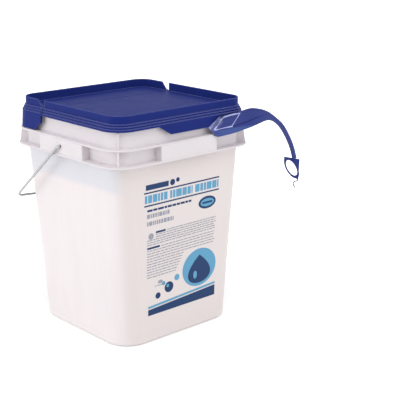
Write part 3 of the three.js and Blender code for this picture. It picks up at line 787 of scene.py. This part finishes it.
class PAIL_OT_bail(bpy.types.Operator):
    """Finishes the bail wire, and turns a ridged grip round it in place of the plain one:
    a profile of reach along the wire is carried round it, and its ridges are the squared
    cosine of seven turns along its length"""

    bl_idname = "pail.bail"
    bl_label = "Bail and grip"

    def execute(self, context):
        paint(smooth_cad("bail_wire", 45.0), zinc_wire())
        low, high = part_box("bail_grip")
        centre = (low + high) / 2 / MM
        half, radius = (high.x - low.x) / 2 / MM, (high.z - low.z) / 2 / MM
        bore, ridges, groove = 2.4, 7, 0.6
        along = np.linspace(-half + groove, half - groove, 180)
        turn = np.pi * ridges * along / half
        ridge = radius - groove - groove * np.cos(turn) ** 2
        ends = np.array([(-half, bore), (-half, radius - 1.5), (-half + 0.15, radius - 0.9)])
        profile = np.vstack([ends, np.stack([along, ridge], -1), ends[::-1] * (-1, 1)])
        angle = np.linspace(0, 2 * np.pi, 64, endpoint=False)[None, :]
        place, reach = profile[:, 0:1], profile[:, 1:2]
        x = centre.x + np.broadcast_to(place, (len(profile), angle.size))
        y, z = centre.y + reach * np.cos(angle), centre.z + reach * np.sin(angle)
        points = np.stack([x, y, z], -1).reshape(-1, 3)
        faces = grid_faces(len(profile), angle.size, round_rows=True, round_columns=True)
        grip = mesh_piece("grip_sleeve", points, faces[:, ::-1], grip_plastic(), "grip")
        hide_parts("bail_grip")
        return {"FINISHED"}


def scattered(x, y, cell, rng):
    """Random heights on a square lattice of that cell, blended between the corners by
    3 s squared less 2 s cubed, and less a half, so that they lie round 0."""
    size = 160
    lattice = rng.random((size, size)) - 0.5
    u, v = x / cell + size / 2, y / cell + size / 2
    i, j = np.floor(u).astype(int), np.floor(v).astype(int)
    s, t = u - i, v - j
    s, t = s * s * (3 - 2 * s), t * t * (3 - 2 * t)
    low = lattice[i, j] * (1 - s) + lattice[i + 1, j] * s
    high = lattice[i, j + 1] * (1 - s) + lattice[i + 1, j + 1] * s
    return low * (1 - t) + high * t


class PAIL_OT_powder(bpy.types.Operator):
    """Fills the pail with a heap of granules whose uneven top is worked out on a grid"""

    bl_idname = "pail.powder"
    bl_label = "Powder"

    def execute(self, context):
        rng = np.random.default_rng(5)
        low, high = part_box("detergent_powder")
        foot, peak = low.z / MM, high.z / MM
        angle = np.linspace(0, 2 * np.pi, 360, endpoint=False)
        levels = [(foot + rise, draw) for rise, draw in HEAP_FOOT]
        levels += [(120.0, 0.0), (HEAP_EDGE - 2.0, 0.0)]
        walls = []
        for height, draw in levels:
            reach = self.edge(angle, height) - draw
            level = np.full_like(angle, height)
            walls.append(np.stack([reach * np.cos(angle), reach * np.sin(angle), level], -1))
        top = self.top(angle, peak, rng)
        base = np.broadcast_to(np.array([0, 0, foot]), (1, angle.size, 3))
        rings = np.concatenate([base, np.stack(walls), top])
        faces = grid_faces(len(rings), angle.size, round_columns=True)
        points = rings.reshape(-1, 3)
        heap = mesh_piece("powder_heap", points, faces, powder_grains(), "pail")
        close_poles(heap)
        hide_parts("detergent_powder")
        return {"FINISHED"}

    def edge(self, angle, height):
        """Reach of the pail's rounded square at that height, in each direction: to the
        flat side it is half over the larger of cos and sin, and past the flat it is where
        the ray leaves the circle of the corner."""
        share = height / RING_HEIGHT
        half = BASE_HALF + (NECK_HALF - BASE_HALF) * share - WALL - HEAP_GAP
        corner = BASE_CORNER + (NECK_CORNER - BASE_CORNER) * share - WALL
        c, s = np.abs(np.cos(angle)), np.abs(np.sin(angle))
        flat = half / np.maximum(c, s)
        core = half - corner
        along = core * (c + s)
        round_reach = along + np.sqrt(np.maximum(corner**2 - 2 * core**2 + along**2, 0))
        return np.where(np.minimum(c, s) * flat <= core, flat, round_reach)

    def top(self, angle, peak, rng):
        """Rings of the top from the wall to the middle: a low dome, one less the share of
        the reach squared, with wide and narrow swells that die out at the wall, and grit."""
        share = np.linspace(1, 0.004, 130)[:, None]
        reach = share * self.edge(angle, HEAP_EDGE)
        x, y = reach * np.cos(angle), reach * np.sin(angle)
        calm = np.minimum(1.0, (1 - share) * 12)
        height = HEAP_EDGE + (peak - HEAP_EDGE - 1.2) * (1 - share**2) * 0.5
        height = height + calm * (2.6 * scattered(x, y, 34.0, rng) + 1.1 * scattered(x, y, 9.0, rng))
        height = height + 0.9 * scattered(x, y, 1.9, rng) * (0.3 + 0.7 * calm)
        rings = np.stack([x, y, height], -1)
        rings[-1] = rings[-1].mean(0)
        return rings


def close_poles(piece):
    """Joins the points that a grid laid on top of each other, so its poles are closed."""
    shape = bmesh.new()
    shape.from_mesh(piece.data)
    bmesh.ops.remove_doubles(shape, verts=shape.verts, dist=0.0001 * MM)
    bmesh.ops.recalc_face_normals(shape, faces=shape.faces)
    shape.to_mesh(piece.data)
    shape.free()


def point_at(item, place, target):
    """Puts a lamp or the camera at its place and turns it to look at the target."""
    bpy.context.scene.collection.objects.link(item)
    item.location = place
    aim = Vector(target) - Vector(place)
    item.rotation_euler = aim.to_track_quat("-Z", "Y").to_euler()


class PAIL_OT_stage(bpy.types.Operator):
    """Builds the pale floor, the soft studio light and the camera"""

    bl_idname = "pail.stage"
    bl_label = "Stage"

    def execute(self, context):
        scene = context.scene
        stage = scene.pail_stage
        self.floor(scene)
        self.room(scene, stage.world)
        for name, place, size, share in LAMPS:
            lamp = bpy.data.lights.new(name, "AREA")
            lamp.shape, lamp.size, lamp.energy = "SQUARE", size, stage.key * share
            point_at(bpy.data.objects.new(name, lamp), place, LAMP_AIM)
        lens = bpy.data.cameras.new("camera")
        lens.sensor_width, lens.lens = SENSOR_WIDTH, stage.lens
        scene.camera = bpy.data.objects.new("camera", lens)
        point_at(scene.camera, CAMERA_PLACE, CAMERA_AIM)
        scene.view_settings.view_transform = "Standard"
        return {"FINISHED"}

    def floor(self, scene):
        """A wide square just under the pail. What is seen of it goes from its own shade
        beside the pail to the white of the room: the glow rises smoothly with the square
        of the distance from the middle."""
        floor = bpy.data.objects.new("floor", bpy.data.meshes.new("floor"))
        corners = bar(-FLOOR_REACH, FLOOR_REACH, -FLOOR_REACH, FLOOR_REACH)
        corners = np.insert(corners, 2, -FLOOR_DROP, axis=1)
        floor.data.from_pydata(corners.tolist(), [], [(0, 1, 2, 3)])
        scene.collection.objects.link(floor)
        paper = {"Base Color": (0.8, 0.8, 0.8, 1), "Roughness": 0.9}
        shader = Shader("floor_paper", paper | {"Specular IOR Level": 0.0, "Emission Strength": 1.0})
        x, y, _, _ = shader.place()
        glow = ((x * x + y * y).step(0.02, 0.11) * 0.58 + 0.34) * shader.seen()
        shader.set(Emission_Color=shader.mix(glow, (0, 0, 0, 1), (1, 1, 1, 1)))
        floor.data.materials.append(shader.material)

    def room(self, scene, strength):
        """An even white room: it is seen at full white, and lights at its strength."""
        scene.world = bpy.data.worlds.new("room")
        scene.world.use_nodes = True
        tree = Tree(scene.world.node_tree)
        limits = {"Value": tree.seen(), "To Min": strength, "To Max": 1.0}
        shown = tree.node("ShaderNodeMapRange", {}, limits).out()
        white = {"Color": (1, 1, 1, 1), "Strength": shown}
        sky = tree.node("ShaderNodeBackground", {}, white).out()
        tree.node("ShaderNodeOutputWorld", {}, {"Surface": sky})


class PAIL_PT_panel(bpy.types.Panel):
    """Lists the pieces of the pail and their settings"""

    bl_label = "Detergent pail"
    bl_idname = "PAIL_PT_panel"
    bl_space_type = "VIEW_3D"
    bl_region_type = "UI"
    bl_category = "Pail"

    def draw(self, context):
        for group in settings():
            for name in group.bl_rna.properties.keys():
                if name not in ("rna_type", "name"):
                    self.layout.prop(group, name)
        for operator in OPERATORS:
            self.layout.operator(operator.bl_idname)


GROUPS = {
    "pail_colours": PailColours,
    "pail_sizes": PailSizes,
    "pail_print": PrintSettings,
    "pail_stage": StageSettings,
}
OPERATORS = (
    PAIL_OT_shell,
    PAIL_OT_lid,
    PAIL_OT_web,
    PAIL_OT_bail,
    PAIL_OT_powder,
    PAIL_OT_print,
    PAIL_OT_stage,
)


def register():
    for made in (*GROUPS.values(), *OPERATORS, PAIL_PT_panel):
        bpy.utils.register_class(made)
    for name, group in GROUPS.items():
        setattr(bpy.types.Scene, name, PointerProperty(type=group))


def unregister():
    for name in GROUPS:
        delattr(bpy.types.Scene, name)
    for made in (PAIL_PT_panel, *OPERATORS, *GROUPS.values()):
        bpy.utils.unregister_class(made)


def main():
    register()
    bpy.ops.pail.shell()
    bpy.ops.pail.lid()
    bpy.ops.pail.web()
    bpy.ops.pail.bail()
    bpy.ops.pail.powder()
    bpy.ops.pail.label_print()
    bpy.ops.pail.stage()


if __name__ == "__main__":
    main()
